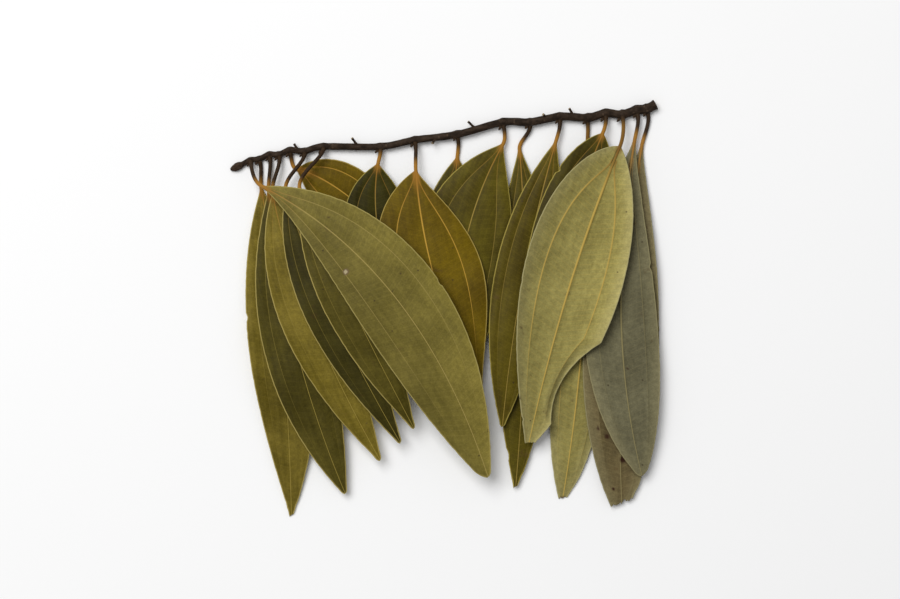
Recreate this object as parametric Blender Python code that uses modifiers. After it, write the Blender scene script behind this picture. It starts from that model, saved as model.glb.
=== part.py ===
"""A sprig of dried Indian bay: eighteen long leaves with three veins each, on one arching twig.

The sprig lies flat. Its leaves hang to one side of the twig and overlap. Each is laid on the
ones below it by a rule: it hinges at its base, and falls until it touches.
Millimetres in the tables become metres through MM. X is right, Y up the picture, Z up.
"""

import math
from typing import NamedTuple

import bmesh
import bpy
import numpy as np

MM = 0.001

BLADE_THICK = 0.7
BLADE_ROWS = 15
RIB_RISE = 0.45
RIB_THINNING = 0.6
VEIN_RISE = 0.2
VEIN_SHARE = 0.46
VEIN_END = 0.9
COLUMNS = (-1.0, -0.74, -VEIN_SHARE, -0.1, 0.0, 0.1, VEIN_SHARE, 0.74, 1.0)
MIDDLE = COLUMNS.index(0.0)

# Rows of a blade are this much even, and for the rest closer together at base and tip.
ROWS_EVEN = 0.6

# A blade's margins ripple this often along it, one margin a little ahead of the other.
RIPPLES = 2.3
RIPPLE_LEAD = 1.9

STALK_THICK = 1.6
STALK_HALF = 0.85
STALK_ROUND = 0.85
STALK_ROWS = 4
STALK_GAP = 0.5
STALK_LIFT = 0.1
STALK_FADE = 0.05
LEAN_REACH = 6.0
LEAN_LOW = -0.2
LEAN_HIGH = 0.9

TWIG_THICK_CUT = 4.6
TWIG_THICK_TIP = 2.6
TWIG_NECK = 0.9
TWIG_HUMP = 1.0
TWIG_FLAT = 0.3
TWIG_STEPS = 3

# The bud beyond the twig's last knot: how far on and how thick, against the twig's radius there.
BUD_PROFILE = ((1.8, 1.25), (3.9, 1.0), (5.7, 0.45))

# How leaves are laid: the clear gap between them, and the cells that keep the pile's height.
LEAF_GAP = 0.45
CELL = 0.5
HEAP_REACH = 125.0
FILL_STEPS = 12
HINGE_SHARE = 0.3
SETTLE_STEPS = 6

MERGE = 0.01
LEAF_ROUGHNESS = 0.6
BARK_ROUGHNESS = 0.75

# The middle of the sprig's box in the plan of the tables, which becomes the part's origin.
CENTRE = (-4.9, 7.3)

# The twig from its cut end to its bud, one point for each knot that a leaf stalk grows from.
TWIG_KNOTS = (
    (90, 99), (86, 97), (81.5, 96.5), (75, 94.5), (67.5, 95), (59.5, 93), (47, 93.5), (33.5, 91),
    (21.5, 91), (1, 85.5), (-18, 83), (-33.5, 80), (-59, 80), (-67.5, 78), (-74, 78.5),
    (-79, 76.5), (-83.5, 76.5), (-88, 74.5), (-92, 74), (-96, 72),
)


class Leaf(NamedTuple):
    """One leaf, in mm and degrees. Its middle vein runs from base to tip, pulled towards bend."""

    name: str
    knot: int
    base: tuple
    bend: tuple
    tip: tuple
    width: float
    peak: float
    skew: float
    full: float
    blunt: float
    arch: float
    camber: float
    twist: float
    wave: float
    phase: float
    colour: tuple
    dent: tuple | None


# Linear colours.
KHAKI = (0.274, 0.243, 0.069)
OLIVE = (0.155, 0.133, 0.033)
DARK = (0.078, 0.059, 0.010)
GOLD = (0.187, 0.119, 0.014)
GREY = (0.147, 0.133, 0.064)
BARK = (0.033, 0.016, 0.007)

# Plan: knot, base, bend, tip, width, peak, skew, full, blunt. From the pile's lowest leaf up.
PLAN = {
    "leaf_17": (17, (-87, 61), (-74.5, -6.5), (-73.5, -88), 30, 0.48, 0.02, 2.0, 0.01),
    "leaf_14": (14, (-71, 70), (-47, 64), (-13, 22), 26, 0.45, 0.0, 2.1, 0.01),
    "leaf_05": (5, (59.5, 78), (61, -2), (48, -81), 25, 0.6, 0.0, 2.1, 0.015),
    "leaf_01": (1, (84, 80.5), (69.7, 1.5), (75.5, -92), 34, 0.56, 0.0, 2.0, 0.055),
    "leaf_09": (9, (1, 75), (-4.5, 20), (-6.5, -33.5), 30, 0.42, 0.0, 2.1, 0.01),
    "leaf_07": (7, (29, 79), (34.5, 11), (27, -75.5), 27, 0.5, 0.0, 2.0, 0.01),
    "leaf_11": (11, (-34.5, 72), (-40, 40), (-20, -4.5), 30, 0.42, 0.0, 2.2, 0.01),
    "leaf_16": (16, (-83.5, 60), (-76, -11), (-48.5, -77), 29, 0.5, 0.0, 2.0, 0.01),
    "leaf_08": (8, (21.5, 81), (-10, 24.5), (6, -48), 42, 0.4, 0.02, 2.6, 0.01),
    "leaf_02": (2, (80.5, 82.5), (66, 0), (84, -69), 33, 0.56, 0.02, 1.9, 0.01),
    "leaf_10": (10, (-17.5, 69), (-13.5, 15.5), (13, -34.5), 44, 0.4, 0.06, 2.5, 0.01),
    "leaf_15": (15, (-81.5, 58.5), (-71, 6.5), (-32.5, -62), 27, 0.48, 0.0, 2.0, 0.01),
    "leaf_13": (13, (-75.5, 59.5), (-61, 11), (-23.5, -54), 24, 0.48, 0.0, 2.0, 0.01),
    "leaf_12": (12, (-69, 60), (-50.5, 15.5), (-17.5, -47.5), 24, 0.48, 0.0, 2.0, 0.01),
    "leaf_06": (6, (45, 81.5), (27, 20), (21, -47), 26, 0.48, 0.0, 1.9, 0.01),
    "leaf_04": (4, (66, 85.5), (47, 41.5), (29, -31), 30, 0.4, 0.0, 1.9, 0.01),
    "leaf_18": (18, (-85.5, 61.5), (-14, 24.5), (16, -71.5), 40, 0.52, -0.05, 2.0, 0.02),
    "leaf_03": (3, (73.5, 79.5), (46.5, 15.5), (32, -57.5), 45, 0.41, 0.04, 1.75, 0.03),
}

# Form: arch, camber, twist, wave, phase, and the colour.
FORM = {
    "leaf_01": (3.0, -0.8, -2, 0.8, 2.0, GREY),
    "leaf_02": (3.0, 0.8, 1, 0.8, 0.8, GREY),
    "leaf_03": (4.5, -1.2, -2, 0.9, 4.2, KHAKI),
    "leaf_04": (4.0, 0.8, -2, 0.7, 0.6, DARK),
    "leaf_05": (3.0, 0.8, -1, 0.7, 5.0, KHAKI),
    "leaf_06": (4.0, 0.8, -1, 0.6, 3.1, OLIVE),
    "leaf_07": (3.0, 0.8, 1, 0.6, 3.0, DARK),
    "leaf_08": (3.0, 1.0, -1, 0.7, 2.5, DARK),
    "leaf_09": (2.0, 0.8, 0, 0.5, 0.0, DARK),
    "leaf_10": (3.5, 1.2, 1, 0.8, 3.5, GOLD),
    "leaf_11": (1.5, 0.8, 0, 0.5, 1.5, DARK),
    "leaf_12": (6.0, 0.6, 1, 0.5, 2.2, DARK),
    "leaf_13": (5.0, 0.6, 1, 0.6, 1.2, OLIVE),
    "leaf_14": (1.5, 0.8, 0, 0.4, 1.0, GOLD),
    "leaf_15": (4.0, 0.8, 1, 0.6, 0.2, GOLD),
    "leaf_16": (4.0, 0.8, 1, 0.8, 4.0, OLIVE),
    "leaf_17": (3.0, -1.0, 2, 0.8, 0.4, OLIVE),
    "leaf_18": (7.0, 1.6, 2, 0.9, 1.9, OLIVE),
}

# Where a margin is drawn in: its side, the shares where that starts and ends, and its depth.
DENTS = {"leaf_03": (1, 0.615, 0.895, 7.0)}

LEAVES = tuple(Leaf(name, *PLAN[name], *FORM[name], DENTS.get(name)) for name in PLAN)


def unit(vector):
    return vector / np.linalg.norm(vector)


def turned(direction):
    """A plan direction turned a quarter to the left."""
    return np.array((-direction[1], direction[0]))


def hermite(start, leave, end, arrive, u):
    """A smooth curve's point at u, from its ends and its directions there."""
    return (
        (2 * u**3 - 3 * u**2 + 1) * start
        + (u**3 - 2 * u**2 + u) * leave
        + (3 * u**2 - 2 * u**3) * end
        + (u**3 - u**2) * arrive
    )


def middle_vein(leaf, s):
    """The plan point and direction of the middle vein at share s of the blade's length."""
    base, bend, tip = (np.array(p, float) for p in (leaf.base, leaf.bend, leaf.tip))
    point = (1 - s) ** 2 * base + 2 * s * (1 - s) * bend + s**2 * tip
    return point, unit((1 - s) * (bend - base) + s * (tip - bend))


def dent_depth(leaf, s, side):
    """How far the margin is drawn in at share s."""
    if leaf.dent is None or leaf.dent[0] != side:
        return 0.0
    _, start, end, depth = leaf.dent
    u = (s - start) / (end - start)
    return max(0.0, depth * 4 * u * (1 - u))


def blade_half(leaf, s, side):
    """Half the blade's width at share s: widest at its peak, wedge-shaped at base and tip."""
    peak = leaf.peak + leaf.skew * side
    rise = (s / peak) ** (leaf.full * peak)
    fall = ((1 - s) / (1 - peak)) ** (leaf.full * (1 - peak))
    return math.hypot(leaf.width / 2 * rise * fall, STALK_HALF) - dent_depth(leaf, s, side)


def blade_height(leaf, s, v):
    """The blade's own form at share s along and v across: arched, cambered, twisted and waved."""
    half = blade_half(leaf, s, 1 if v > 0 else -1)
    across = v * half * 2 / leaf.width
    ripple = math.sin(leaf.phase + 2 * math.pi * RIPPLES * s + (RIPPLE_LEAD if v > 0 else 0))
    return (
        leaf.arch * 4 * s * (1 - s)
        - leaf.camber * across**2
        + math.tan(math.radians(leaf.twist)) * across * leaf.width / 2 * s
        + leaf.wave * abs(across) ** 1.5 * ripple
    )


def blade_thickness(s, v):
    """The blade, with a rib along the middle and a raised vein on each side of it."""
    thick = BLADE_THICK
    if v == 0:
        thick += RIB_RISE * (1 - RIB_THINNING * s)
    elif abs(v) == VEIN_SHARE and s < VEIN_END:
        thick += VEIN_RISE
    stalk = STALK_THICK * math.sqrt(1 - STALK_ROUND * v * v)
    share = math.exp(-s / STALK_FADE)
    return thick * (1 - share) + stalk * share


class Heap:
    """The highest surface laid so far over each cell of the plan, with the floor at zero."""

    def __init__(self):
        cells = int(2 * HEAP_REACH / CELL)
        self.top = np.full((cells, cells), -LEAF_GAP)

    def cells_of(self, points):
        return ((points[:, :2] + HEAP_REACH) / CELL).astype(int).T

    def below(self, points):
        i, j = self.cells_of(points)
        return self.top[i, j] + LEAF_GAP

    def lay(self, points):
        i, j = self.cells_of(points)
        for di in (-1, 0, 1):
            for dj in (-1, 0, 1):
                np.maximum.at(self.top, (i + di, j + dj), points[:, 2])


def fill_cells(rows):
    """Points between the corners of a grid's cells, where each corner is a row of numbers."""
    share = np.linspace(0, 1, FILL_STEPS)
    u, v = np.meshgrid(share, share, indexing="ij")
    u, v = u[None, None, :, :, None], v[None, None, :, :, None]
    a, b = rows[:-1, :-1, None, None], rows[1:, :-1, None, None]
    c, d = rows[:-1, 1:, None, None], rows[1:, 1:, None, None]
    filled = a * (1 - u) * (1 - v) + b * u * (1 - v) + c * (1 - u) * v + d * u * v
    return filled.reshape(-1, rows.shape[-1])


def twig_point(index):
    """A knot of the twig as a point in space, with the twig's radius there."""
    t = index / (len(TWIG_KNOTS) - 1)
    x, y = TWIG_KNOTS[index]
    radius = (TWIG_THICK_CUT * (1 - t) + TWIG_THICK_TIP * t) / 2
    height = radius - TWIG_FLAT + TWIG_HUMP * math.sin(math.pi * t) ** 2
    return np.array((x, y, height)), radius


def twig_path():
    """Points and radii along the twig: a smooth line through its knots, thinner between them."""
    knots = [np.append(*twig_point(i)) for i in range(len(TWIG_KNOTS))]
    path = []
    for i in range(len(knots) - 1):
        before, after = knots[max(i - 1, 0)], knots[min(i + 2, len(knots) - 1)]
        leave, arrive = (knots[i + 1] - before) / 2, (after - knots[i]) / 2
        for step in range(TWIG_STEPS):
            point = hermite(knots[i], leave, knots[i + 1], arrive, step / TWIG_STEPS)
            point[3] *= TWIG_NECK if step else 1.0
            path.append(point)
    path.append(knots[-1])
    ahead = unit(knots[-1][:3] - knots[-2][:3])
    for reach, swell in BUD_PROFILE:
        path.append(np.append(knots[-1][:3] + ahead * reach, knots[-1][3] * swell))
    return path


def stalk_line(leaf, base_height, slope):
    """Points of the stalk from its knot on the twig to the blade, and its plan directions."""
    knot, radius = twig_point(leaf.knot)
    along = twig_point(leaf.knot + 1)[0] - twig_point(leaf.knot - 1)[0]
    lean = max(LEAN_LOW, min(LEAN_HIGH, math.atan2(base_height - knot[2], LEAN_REACH)))
    leave = np.append(turned(unit(along[:2])) * math.cos(lean), math.sin(lean))
    start = knot + leave * (radius + STALK_GAP)
    plan, direction = middle_vein(leaf, 0)
    end, arrive = np.append(plan, base_height), np.append(direction, slope)
    reach = np.linalg.norm(end - start)
    line = [
        hermite(start, leave * reach, end, arrive * reach, row / STALK_ROWS)
        for row in range(STALK_ROWS + 1)
    ]
    for point in line:
        point[2] = max(point[2], STALK_THICK / 2 + STALK_LIFT)
    ways = [unit((after - before)[:2]) for before, after in zip(line, line[1:])]
    directions = [ways[0]] + [unit(a + b) for a, b in zip(ways, ways[1:])]
    return line[:-1], directions


def blade_grid(leaf):
    """The blade as a grid of x, y, own height, thickness and share s."""
    rows = []
    for row in range(BLADE_ROWS):
        t = row / (BLADE_ROWS - 1)
        eased = (1 - math.cos(math.pi * t)) / 2
        s = (1 - leaf.blunt) * (ROWS_EVEN * t + (1 - ROWS_EVEN) * eased)
        point, direction = middle_vein(leaf, s)
        line = []
        for v in COLUMNS:
            side = 1 if v > 0 else -1
            plan = point + turned(direction) * v * blade_half(leaf, s, side)
            line.append((*plan, blade_height(leaf, s, v), blade_thickness(s, v), s))
        rows.append(line)
    return np.array(rows)


def lay_leaf(leaf, heap):
    """The leaf's grid of x, y, z and thickness, hinged at its base and laid on the heap."""
    blade = blade_grid(leaf)
    points = fill_cells(blade)
    need = heap.below(points) + points[:, 3] / 2 - points[:, 2]
    s = points[:, 4]
    near = s < HINGE_SHARE
    lift, tilt = max(need[near].max(), STALK_THICK / 2 + STALK_LIFT), 0.0
    for _ in range(SETTLE_STEPS):
        tilt = ((need[~near] - lift) / s[~near]).max()
        lift += max(0.0, (need - lift - tilt * s)[near].max())
    blade[:, :, 2] += lift + tilt * blade[:, :, 4]
    ahead = blade[1, MIDDLE, :3] - blade[0, MIDDLE, :3]
    slope = ahead[2] / np.linalg.norm(ahead[:2])
    stalk = []
    for point, direction in zip(*stalk_line(leaf, blade[0, MIDDLE, 2], slope)):
        line = []
        for v in COLUMNS:
            plan = point[:2] + turned(direction) * v * STALK_HALF
            line.append((*plan, point[2], blade_thickness(0.0, v), 0.0))
        stalk.append(line)
    grid = np.concatenate((np.array(stalk), blade))
    filled = fill_cells(grid)
    filled[:, 2] += filled[:, 3] / 2
    heap.lay(filled)
    return grid


def finish_material(name, colour, roughness):
    material = bpy.data.materials.new(name)
    material.use_nodes = True
    shader = material.node_tree.nodes["Principled BSDF"]
    shader.inputs["Base Color"].default_value = (*colour, 1.0)
    shader.inputs["Roughness"].default_value = roughness
    shader.inputs["Metallic"].default_value = 0.0
    return material


def make_leaf(leaf, grid, collection):
    """A triangulated sheet in the leaf's form, given its thickness by Solidify."""
    rows, columns = grid.shape[:2]
    bm = bmesh.new()
    bmesh.ops.create_grid(bm, x_segments=rows - 1, y_segments=columns - 1, size=1.0)
    bm.verts.ensure_lookup_table()
    weights = []
    for vert in bm.verts:
        row = round((vert.co.x + 1) / 2 * (rows - 1))
        column = round((vert.co.y + 1) / 2 * (columns - 1))
        x, y, z, thick = grid[row, column, :4]
        vert.co = ((x - CENTRE[0]) * MM, (y - CENTRE[1]) * MM, z * MM)
        weights.append(thick / STALK_THICK)
    bmesh.ops.triangulate(bm, faces=bm.faces[:], quad_method="SHORT_EDGE")
    mesh = bpy.data.meshes.new(leaf.name)
    bm.to_mesh(mesh)
    bm.free()
    mesh.shade_smooth()
    mesh.materials.append(finish_material(leaf.name, leaf.colour, LEAF_ROUGHNESS))
    sheet = bpy.data.objects.new(leaf.name, mesh)
    collection.objects.link(sheet)
    group = sheet.vertex_groups.new(name="thickness")
    for index, weight in enumerate(weights):
        group.add([index], weight, "REPLACE")
    solidify = sheet.modifiers.new("thickness", "SOLIDIFY")
    solidify.thickness = STALK_THICK * MM
    solidify.offset = 0.0
    solidify.vertex_group = group.name
    solidify.thickness_vertex_group = 0.0


def make_tube(name, path, collection):
    """A closed tube mesh through points and radii."""
    curve = bpy.data.curves.new(name, "CURVE")
    curve.dimensions = "3D"
    curve.bevel_depth = MM
    curve.bevel_resolution = 2
    curve.use_fill_caps = True
    spline = curve.splines.new("POLY")
    spline.points.add(len(path) - 1)
    for point, (x, y, z, radius) in zip(spline.points, path):
        point.co = ((x - CENTRE[0]) * MM, (y - CENTRE[1]) * MM, z * MM, 1.0)
        point.radius = radius
    tube = bpy.data.objects.new(name, curve)
    collection.objects.link(tube)
    bpy.context.view_layer.update()
    evaluated = tube.evaluated_get(bpy.context.evaluated_depsgraph_get())
    mesh = bpy.data.meshes.new_from_object(evaluated)
    bpy.data.objects.remove(tube)
    return mesh


def make_twig(collection):
    """A tapered tube through the twig's path, pared flat where it lies on the surface."""
    mesh = make_tube("twig", twig_path(), collection)
    bm = bmesh.new()
    bm.from_mesh(mesh)
    bmesh.ops.remove_doubles(bm, verts=bm.verts[:], dist=MERGE * MM)
    geometry = bm.verts[:] + bm.edges[:] + bm.faces[:]
    bmesh.ops.bisect_plane(
        bm, geom=geometry, dist=MERGE * MM / 10, plane_co=(0, 0, 0), plane_no=(0, 0, -1), clear_outer=True
    )
    open_edges = [edge for edge in bm.edges if edge.is_boundary]
    bmesh.ops.holes_fill(bm, edges=open_edges, sides=0)
    bmesh.ops.recalc_face_normals(bm, faces=bm.faces[:])
    bm.to_mesh(mesh)
    bm.free()
    mesh.materials.clear()
    mesh.materials.append(finish_material("bark", BARK, BARK_ROUGHNESS))
    collection.objects.link(bpy.data.objects.new("twig", mesh))


def main():
    for leftover in list(bpy.data.objects):
        bpy.data.objects.remove(leftover)
    collection = bpy.data.collections.new("bay leaf sprig")
    bpy.context.scene.collection.children.link(collection)
    heap = Heap()
    for leaf in LEAVES:
        make_leaf(leaf, lay_leaf(leaf, heap), collection)
    make_twig(collection)


main()
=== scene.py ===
"""Dresses the dried bay leaf sprig: its veined leaves, its twig with buds, and the stage."""

import math
from typing import NamedTuple

import bmesh
import bpy
import numpy as np
from bpy.props import FloatProperty, FloatVectorProperty, PointerProperty, StringProperty
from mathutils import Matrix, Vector, noise


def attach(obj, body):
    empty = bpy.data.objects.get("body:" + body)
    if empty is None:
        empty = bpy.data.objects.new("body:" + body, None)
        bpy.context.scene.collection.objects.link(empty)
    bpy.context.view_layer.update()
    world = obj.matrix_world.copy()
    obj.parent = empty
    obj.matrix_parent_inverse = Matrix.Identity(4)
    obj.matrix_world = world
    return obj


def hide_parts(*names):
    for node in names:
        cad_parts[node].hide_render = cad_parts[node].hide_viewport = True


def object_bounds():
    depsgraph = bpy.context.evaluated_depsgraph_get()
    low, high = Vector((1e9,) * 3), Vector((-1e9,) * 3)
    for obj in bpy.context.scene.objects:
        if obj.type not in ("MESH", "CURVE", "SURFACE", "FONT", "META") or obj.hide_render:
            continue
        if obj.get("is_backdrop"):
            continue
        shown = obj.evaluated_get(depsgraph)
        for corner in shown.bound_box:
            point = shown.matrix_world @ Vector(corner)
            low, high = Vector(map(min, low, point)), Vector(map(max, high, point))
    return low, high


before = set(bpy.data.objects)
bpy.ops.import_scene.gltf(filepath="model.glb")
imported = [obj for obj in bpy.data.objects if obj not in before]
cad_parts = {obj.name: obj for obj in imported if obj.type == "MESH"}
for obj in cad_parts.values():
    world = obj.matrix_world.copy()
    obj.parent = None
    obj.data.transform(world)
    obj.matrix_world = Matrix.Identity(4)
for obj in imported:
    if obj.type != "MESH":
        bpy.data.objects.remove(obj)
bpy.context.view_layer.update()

bl_info = {
    "name": "Bay Leaf Sprig",
    "version": (1, 0, 0),
    "blender": (4, 5, 0),
    "location": "3D View > Sidebar > Bay Leaf",
    "description": "Builds the dried leaves, the twig and the stage of a bay leaf sprig",
    "category": "Add Mesh",
}

MM = 0.001

# Plan points have a zero of their own. This point of the plan is the part's origin.
CENTRE = np.array((-4.9, 7.3))

# Stalk, in mm and radians. It leans towards its blade's height over a run of its own, it swells
# at the twig, and over a share of the blade it flattens into the rib.
STALK_THICK = 1.6
STALK_HALF = 0.85
STALK_SUNK = 0.4
STALK_LIFT = 0.1
STALK_SWELL = 0.35
STALK_SWELL_REACH = 1.2
STALK_FLATTENS = 0.045
LEAN_LEAST, LEAN_MOST = -0.2, 0.9
LEAN_RUN = 6.0

# Waves along a blade, and how far the right half's waves lie behind the left half's, in radians.
WAVES = 2.3
WAVE_LAG = 1.9

# A solid's vertices this close to its nearest one, in mm, give its height at a point.
NEAREST = 0.25

# A leaf's mesh. Beside the rib, a side vein and the margin its columns stand close: how wide such
# a column is in mm, and the most that it may be as a share of the half width.
STALK_ROWS = 22
BLADE_ROWS = 190
ROWS_EVEN = 0.35
INNER_COLUMNS = 8
OUTER_COLUMNS = 8
RIB_COLUMN = (0.5, 0.3)
VEIN_COLUMN = (0.3, 0.05)
MARGIN_COLUMN = (0.3, 0.06)

# Side veins: where they part from the rib, how fast they spread and how far out they run.
VEIN_START_UNDER = 0.055
VEIN_START_TOP = 0.012
VEIN_SPREAD = 0.09
VEIN_SHARE = 0.62

# A whole tip is rounded over this many times its half width. A tip torn deeper than this in mm
# stays square, and it slopes. Its jags: how many, their level in the noise and how deep.
TIP_ROUND = 1.3
TORN_DEEP = 0.9
TORN_START = 0.93
TORN_SLOPE = 0.5
TORN_JAGS = ((2.1, 3.0, 1.0), (8.0, 6.0, 0.5))

# How deep a margin is worn and the size of that wear, in mm.
WORN_DEPTH = 0.15
WORN_SIZE = 2.2

# Each leaf reads the noise at its knot's number times these.
MARGIN_SEED = 7.3
RIPPLE_SEED = 3.7

# Fine form, in mm: panels between the veins that puff up, drying ripples as size and strength,
# and margins that curl and roll, from these shares of the half width. The rib and the side veins
# fall off to these shares of their rise in the columns beside them.
PUFF = 0.28
RIPPLES = ((16.0, 1.0), (4.5, 0.35))
CURL, CURL_START, CURL_SIZE = 0.35, 0.8, 22.0
ROLL_LEAST, ROLL_START, ROLL_SIZE = 0.6, 0.55, 30.0
RIB_SHOULDER = 0.75
VEIN_SHOULDER = 0.15

# Twig, in mm: its thickness at both ends, its rise in the middle, its flat underside, and the
# half widths of its buds.
TWIG_THICK_CUT = 4.6
TWIG_THICK_TIP = 2.6
TWIG_HUMP = 1.0
TWIG_FLAT = 0.3
END_BUD = 1.725
END_BUD_LENGTH = 6.5
SIDE_BUD = 0.62
TWIG_STEPS = 9
TWIG_SIDES = 28

# The twig's thickness between its knots, what it gains at them, and over how many mm.
TWIG_WAIST = 0.9
TWIG_SWELL = 0.16
TWIG_SWELL_REACH = 1.1

# Lumps of bark: how close round the twig, how close along it, and their strength.
LUMPS = ((1.2, 0.25, 1.0), (5.0, 0.5, 0.5))

# Each bud scale stands this far round from the one before it, as they grow.
SPIRAL_ANGLE = math.radians(137.5)

# The twig from its cut end to its bud: its ends, and each knot that a leaf stalk grows from.
TWIG_KNOTS = (
    (90, 99), (86, 97), (81.5, 96.5), (75, 94.5), (67.5, 95), (59.5, 93), (47, 93.5), (33.5, 91),
    (21.5, 91), (1, 85.5), (-18, 83), (-33.5, 80), (-59, 80), (-67.5, 78), (-74, 78.5),
    (-79, 76.5), (-83.5, 76.5), (-88, 74.5), (-92, 74), (-96, 72),
)

# The photograph's scale, the pixel of the plan's zero, and the picture's size.
PIXELS_PER_MM = 2.24
PLAN_ZERO_PIXEL = (455.0, 325.0)
PICTURE_SIZE = (900, 599)

# The floor and the key light, in metres. The camera's scale holds at this share of the height.
FLOOR_RADIUS = 3.0
FLOOR_DROP = 0.0001
KEY_PLACE = (-0.8, 0.95, 2.1)
KEY_SIZE = 1.5
SCALE_HEIGHT = 0.4


class Leaf(NamedTuple):
    """One leaf, in mm and degrees. Its middle vein runs from base to tip, pulled towards bend."""

    knot: int
    base: tuple
    bend: tuple
    tip: tuple
    width: float
    peak: float
    skew: float
    full: float
    blunt: float
    arch: float
    camber: float
    twist: float
    wave: float
    phase: float
    dent: tuple | None
    finish: str
    lightness: float
    warmth: float
    torn: float = 0.3
    nicks: tuple = ()
    scars: tuple = ()
    roll: float = 0.0
    painted_side_light: float = 0.0
    deepen: float = 0.0


# Plan: knot, base, bend, tip, width, peak, skew, full, blunt.
PLAN = {
    "leaf_01": (1, (84, 80.5), (69.7, 1.5), (75.5, -92), 34, 0.56, 0.0, 2.0, 0.055),
    "leaf_02": (2, (80.5, 82.5), (66, 0), (84, -69), 33, 0.56, 0.02, 1.9, 0.01),
    "leaf_03": (3, (73.5, 79.5), (46.5, 15.5), (32, -57.5), 45, 0.41, 0.04, 1.75, 0.03),
    "leaf_04": (4, (66, 85.5), (47, 41.5), (29, -31), 30, 0.4, 0.0, 1.9, 0.01),
    "leaf_05": (5, (59.5, 78), (61, -2), (48, -81), 25, 0.6, 0.0, 2.1, 0.015),
    "leaf_06": (6, (45, 81.5), (27, 20), (21, -47), 26, 0.48, 0.0, 1.9, 0.01),
    "leaf_07": (7, (29, 79), (34.5, 11), (27, -75.5), 27, 0.5, 0.0, 2.0, 0.01),
    "leaf_08": (8, (21.5, 81), (-10, 24.5), (6, -48), 42, 0.4, 0.02, 2.6, 0.01),
    "leaf_09": (9, (1, 75), (-4.5, 20), (-6.5, -33.5), 30, 0.42, 0.0, 2.1, 0.01),
    "leaf_10": (10, (-17.5, 69), (-13.5, 15.5), (13, -34.5), 44, 0.4, 0.06, 2.5, 0.01),
    "leaf_11": (11, (-34.5, 72), (-40, 40), (-20, -4.5), 30, 0.42, 0.0, 2.2, 0.01),
    "leaf_12": (12, (-69, 60), (-50.5, 15.5), (-17.5, -47.5), 24, 0.48, 0.0, 2.0, 0.01),
    "leaf_13": (13, (-75.5, 59.5), (-61, 11), (-23.5, -54), 24, 0.48, 0.0, 2.0, 0.01),
    "leaf_14": (14, (-71, 70), (-47, 64), (-13, 22), 26, 0.45, 0.0, 2.1, 0.01),
    "leaf_15": (15, (-81.5, 58.5), (-71, 6.5), (-32.5, -62), 27, 0.48, 0.0, 2.0, 0.01),
    "leaf_16": (16, (-83.5, 60), (-76, -11), (-48.5, -77), 29, 0.5, 0.0, 2.0, 0.01),
    "leaf_17": (17, (-87, 61), (-74.5, -6.5), (-73.5, -88), 30, 0.48, 0.02, 2.0, 0.01),
    "leaf_18": (18, (-85.5, 61.5), (-14, 24.5), (16, -71.5), 40, 0.52, -0.05, 2.0, 0.02),
}

# Form: arch, camber, twist, wave, phase.
FORM = {
    "leaf_01": (3.0, -0.8, -2, 0.8, 2.0),
    "leaf_02": (3.0, 0.8, 1, 0.8, 0.8),
    "leaf_03": (4.5, -1.2, -2, 0.9, 4.2),
    "leaf_04": (4.0, 0.8, -2, 0.7, 0.6),
    "leaf_05": (3.0, 0.8, -1, 0.7, 5.0),
    "leaf_06": (4.0, 0.8, -1, 0.6, 3.1),
    "leaf_07": (3.0, 0.8, 1, 0.6, 3.0),
    "leaf_08": (3.0, 1.0, -1, 0.7, 2.5),
    "leaf_09": (2.0, 0.8, 0, 0.5, 0.0),
    "leaf_10": (3.5, 1.2, 1, 0.8, 3.5),
    "leaf_11": (1.5, 0.8, 0, 0.5, 1.5),
    "leaf_12": (6.0, 0.6, 1, 0.5, 2.2),
    "leaf_13": (5.0, 0.6, 1, 0.6, 1.2),
    "leaf_14": (1.5, 0.8, 0, 0.4, 1.0),
    "leaf_15": (4.0, 0.8, 1, 0.6, 0.2),
    "leaf_16": (4.0, 0.8, 1, 0.8, 4.0),
    "leaf_17": (3.0, -1.0, 2, 0.8, 0.4),
    "leaf_18": (7.0, 1.6, 2, 0.9, 1.9),
}

# Where a margin is drawn in: its side, the shares where that starts and ends, and its depth. The
# dried margin also bends down there, by the drop.
DENT_DROP = 4.0
DENTS = {"leaf_03": (1, 0.615, 0.895, 7.0)}
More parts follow.
